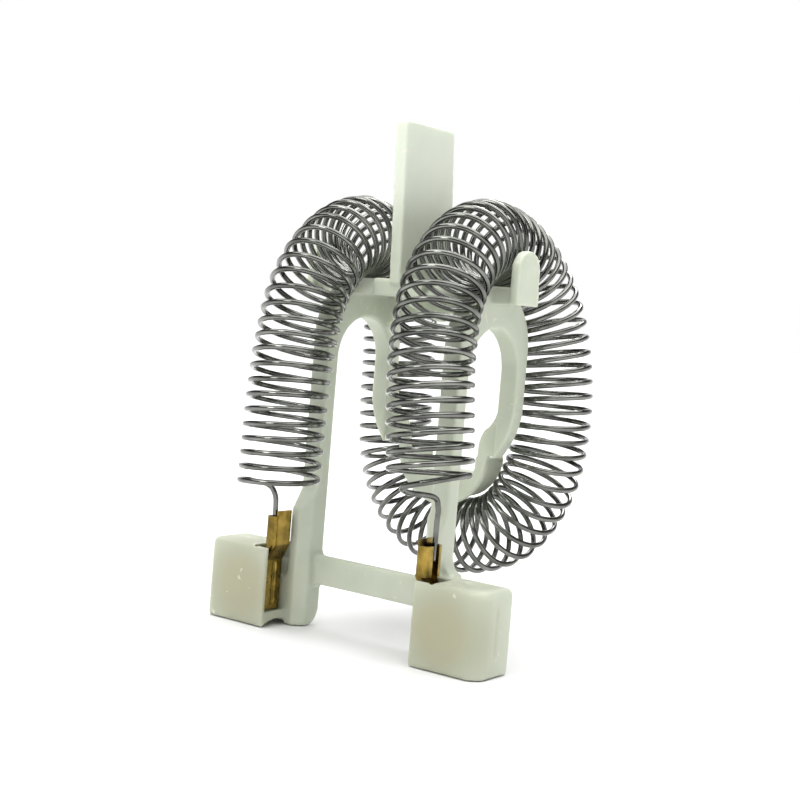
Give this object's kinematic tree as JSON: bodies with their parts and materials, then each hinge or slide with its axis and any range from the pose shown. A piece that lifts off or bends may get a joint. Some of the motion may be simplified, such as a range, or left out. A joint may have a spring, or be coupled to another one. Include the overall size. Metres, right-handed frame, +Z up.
{
  "type": "shower heating element",
  "caption": "Resistance coil looped over a moulded nylon support, with a blade terminal in each foot, for heating water in an electric shower.",
  "frame": {"origin": "middle of the overall box in X and Y, on the flat undersides of the two feet", "axes": "+X along the foot bar to the right foot, +Y to the back, away from the terminals, +Z up the tongue"},
  "size_m": [0.0662, 0.0614, 0.1014],
  "materials": {
    "nylon": "moulded natural nylon, slightly translucent, satin",
    "resistance_wire": "bright drawn resistance wire",
    "terminal_brass": "stamped brass sheet, slightly tarnished"
  },
  "bodies": {
    "root": {"support_frame": "nylon", "heating_coil": "resistance_wire", "left_terminal": "terminal_brass", "right_terminal": "terminal_brass"}
  },
  "joints": []
}
